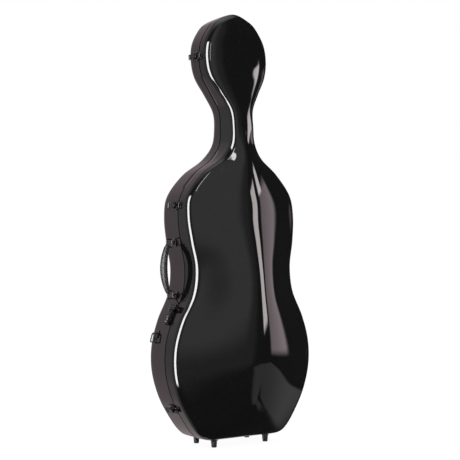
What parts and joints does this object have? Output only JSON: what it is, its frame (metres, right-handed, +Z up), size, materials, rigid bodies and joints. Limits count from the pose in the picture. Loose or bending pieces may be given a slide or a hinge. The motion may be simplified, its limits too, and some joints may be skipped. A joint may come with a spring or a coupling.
{
  "type": "cello hard case",
  "caption": "Tall standing hard case for a full-size cello: hinged lid, draw latches, combination lock, carrying handle, rubber feet and padded interior.",
  "frame": {"origin": "on the surface that the feet stand on, under the middle of the bounding box", "axes": "+Z up the case from the feet to the head, -Y towards the lid, +Y towards the back, +X towards the hinges"},
  "size_m": [0.514, 0.278, 1.335],
  "materials": {
    "shell": "high-gloss black lacquer over woven fibre",
    "seal": "matt extruded rubber",
    "valance": "satin black strip",
    "plush": "short-pile charcoal plush",
    "foot_rubber": "matt moulded rubber",
    "black_hardware": "semi-gloss black plated steel",
    "bright_steel": "polished nickel-plated steel",
    "dial_metal": "brushed dials with plain numbers",
    "handle_leather": "smooth black leather, stitched",
    "webbing": "black woven webbing",
    "clip_plastic": "satin black plastic"
  },
  "bodies": {
    "base": {"base_shell": "shell", "rim_seal": "seal", "rim_valance": "valance", "base_lining": "plush", "base_foot_left": "foot_rubber", "base_foot_right": "foot_rubber", "hinge_leaf_base_upper": "black_hardware", "hinge_pin_upper": "bright_steel", "hinge_leaf_base_lower": "black_hardware", "hinge_pin_lower": "bright_steel", "latch_head_plate": "black_hardware", "latch_upper_plate": "black_hardware", "latch_lower_plate": "black_hardware", "lock_body": "black_hardware", "lock_axle": "bright_steel", "handle_bracket_lower": "black_hardware", "handle_bracket_upper": "black_hardware", "strap_bracket_lower_left": "black_hardware", "strap_bracket_lower_right": "black_hardware", "strap_bracket_upper": "black_hardware", "lower_bout_pad_left": "plush", "lower_bout_pad_right": "plush", "upper_bout_pad_left": "plush", "upper_bout_pad_right": "plush", "endpin_block": "plush", "neck_cradle": "plush", "neck_strap": "webbing"},
    "lid": {"lid_shell": "shell", "lid_lining": "plush", "lid_foot_left": "foot_rubber", "lid_foot_right": "foot_rubber", "hinge_leaf_lid_upper": "black_hardware", "hinge_leaf_lid_lower": "black_hardware", "latch_head_keeper": "black_hardware", "latch_upper_keeper": "black_hardware", "latch_lower_keeper": "black_hardware", "lock_keeper": "black_hardware", "bow_clip_post_left": "black_hardware", "bow_clip_post_right": "black_hardware", "bow_pouch_left": "plush", "bow_pouch_right": "plush"},
    "latch_head_lever": {"latch_head_lever": "black_hardware"},
    "latch_head_loop": {"latch_head_loop": "bright_steel"},
    "latch_upper_lever": {"latch_upper_lever": "black_hardware"},
    "latch_upper_loop": {"latch_upper_loop": "bright_steel"},
    "latch_lower_lever": {"latch_lower_lever": "black_hardware"},
    "latch_lower_loop": {"latch_lower_loop": "bright_steel"},
    "lock_dial_1": {"lock_dial_1": "dial_metal"},
    "lock_dial_2": {"lock_dial_2": "dial_metal"},
    "lock_dial_3": {"lock_dial_3": "dial_metal"},
    "lock_button": {"lock_button": "bright_steel"},
    "lock_hasp": {"lock_hasp": "black_hardware"},
    "handle": {"handle_ring_lower": "bright_steel", "handle_ring_upper": "bright_steel", "handle_grip": "handle_leather"},
    "strap_ring_lower_left": {"strap_ring_lower_left": "bright_steel"},
    "strap_ring_lower_right": {"strap_ring_lower_right": "bright_steel"},
    "strap_ring_upper": {"strap_ring_upper": "bright_steel"},
    "bow_clip_left": {"bow_clip_left": "clip_plastic"},
    "bow_clip_right": {"bow_clip_right": "clip_plastic"}
  },
  "joints": [
    {"name": "lid_hinge", "type": "hinge", "parent": "base", "child": "lid", "pos_m": [0.20264, 0.017, 0.73467], "axis": [-0.121, 0, 0.9927], "range_deg": [0, 170]},
    {"name": "latch_head_lever_pivot", "type": "hinge", "parent": "base", "child": "latch_head_lever", "pos_m": [-0.12059, 0.02819, 1.2003], "axis": [0.0216, 0, 0.9998], "range_deg": [0, 95]},
    {"name": "latch_head_loop_pivot", "type": "hinge", "parent": "latch_head_lever", "child": "latch_head_loop", "pos_m": [-0.11826, 0.03912, 1.20025], "axis": [0.0216, 0, 0.9998], "range_deg": [-95, 0]},
    {"name": "latch_upper_lever_pivot", "type": "hinge", "parent": "base", "child": "latch_upper_lever", "pos_m": [-0.20252, 0.02819, 0.74167], "axis": [0.1225, 0, 0.9925], "range_deg": [0, 95]},
    {"name": "latch_upper_loop_pivot", "type": "hinge", "parent": "latch_upper_lever", "child": "latch_upper_loop", "pos_m": [-0.20021, 0.03912, 0.74138], "axis": [0.1225, 0, 0.9925], "range_deg": [-95, 0]},
    {"name": "latch_lower_lever_pivot", "type": "hinge", "parent": "base", "child": "latch_lower_lever", "pos_m": [-0.21992, 0.02819, 0.12129], "axis": [-0.4725, 0, 0.8813], "range_deg": [0, 95]},
    {"name": "latch_lower_loop_pivot", "type": "hinge", "parent": "latch_lower_lever", "child": "latch_lower_loop", "pos_m": [-0.21787, 0.03912, 0.12239], "axis": [-0.4725, 0, 0.8813], "range_deg": [-95, 0]},
    {"name": "lock_dial_1_spin", "type": "hinge", "parent": "base", "child": "lock_dial_1", "pos_m": [-0.23541, 0.03222, 0.38904], "axis": [0.4587, 0, 0.8886], "continuous": true},
    {"name": "lock_dial_2_spin", "type": "hinge", "parent": "base", "child": "lock_dial_2", "pos_m": [-0.23174, 0.03222, 0.39615], "axis": [0.4587, 0, 0.8886], "continuous": true},
    {"name": "lock_dial_3_spin", "type": "hinge", "parent": "base", "child": "lock_dial_3", "pos_m": [-0.22807, 0.03222, 0.40326], "axis": [0.4587, 0, 0.8886], "continuous": true},
    {"name": "lock_button_slide", "type": "slide", "parent": "base", "child": "lock_button", "axis": [-0.4587, 0, -0.8886], "range_m": [0, 0.0035], "stiffness_N_per_m": 100, "springref_m": -0.002},
    {"name": "lock_hasp_pivot", "type": "hinge", "parent": "base", "child": "lock_hasp", "pos_m": [-0.21842, 0.04009, 0.43429], "axis": [-0.4587, 0, -0.8886], "range_deg": [0, 100]},
    {"name": "handle_swing", "type": "hinge", "parent": "base", "child": "handle", "pos_m": [-0.19786, 0.05527, 0.54769], "axis": [-0.0029, 0, 1], "range_deg": [-70, 70]},
    {"name": "strap_ring_lower_left_swing", "type": "hinge", "parent": "base", "child": "strap_ring_lower_left", "pos_m": [-0.2441, 0.08919, 0.35099], "axis": [0.0287, 0.9996, -0.0087], "range_deg": [0, 120]},
    {"name": "strap_ring_lower_right_swing", "type": "hinge", "parent": "base", "child": "strap_ring_lower_right", "pos_m": [0.2441, 0.08919, 0.35099], "axis": [0.0287, -0.9996, 0.0087], "range_deg": [0, 120]},
    {"name": "strap_ring_upper_swing", "type": "hinge", "parent": "base", "child": "strap_ring_upper", "pos_m": [0, 0.12267, 0.86449], "axis": [1, 0, 0], "range_deg": [0, 150]},
    {"name": "bow_clip_left_turn", "type": "hinge", "parent": "lid", "child": "bow_clip_left", "pos_m": [-0.12117, -0.06325, 0.20239], "axis": [0.3978, 0.8902, 0.2222], "range_deg": [0, 90]},
    {"name": "bow_clip_right_turn", "type": "hinge", "parent": "lid", "child": "bow_clip_right", "pos_m": [0.12117, -0.06325, 0.20239], "axis": [-0.3978, 0.8902, 0.2222], "range_deg": [0, 90]}
  ],
  "couplings": [
    {"joint": "latch_head_loop_pivot", "follows": "latch_head_lever_pivot", "ratio": -1},
    {"joint": "latch_upper_loop_pivot", "follows": "latch_upper_lever_pivot", "ratio": -1},
    {"joint": "latch_lower_loop_pivot", "follows": "latch_lower_lever_pivot", "ratio": -1}
  ]
}
